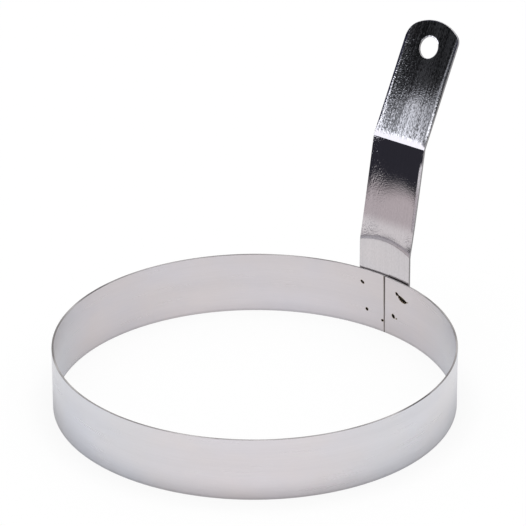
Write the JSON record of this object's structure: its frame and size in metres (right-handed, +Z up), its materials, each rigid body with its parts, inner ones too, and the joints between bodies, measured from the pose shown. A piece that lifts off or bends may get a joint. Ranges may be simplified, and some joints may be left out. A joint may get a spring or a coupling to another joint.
{
  "type": "egg ring",
  "caption": "Round sheet-steel egg ring with a butt joint and an upright, outward-leaning strip handle with a hanging hole.",
  "frame": {"origin": "middle of the whole footprint, ring and handle together, on the surface that the ring rests on", "axes": "+Z up along the ring's axis, +Y from the ring towards the handle, +X to the right as seen from inside the ring facing the handle"},
  "size_m": [0.156, 0.1866, 0.125],
  "materials": {
    "band_steel": "satin rolled stainless sheet with faint grain along the band",
    "handle_steel": "mirror-polished stainless strip with fine polishing grain",
    "weld_steel": "fused weld metal, matt"
  },
  "bodies": {
    "root": {"ring_band": "band_steel", "handle": "handle_steel", "spot_weld_upper_left": "weld_steel", "spot_weld_lower_left": "weld_steel", "spot_weld_upper_right": "weld_steel", "spot_weld_lower_right": "weld_steel"}
  },
  "joints": []
}
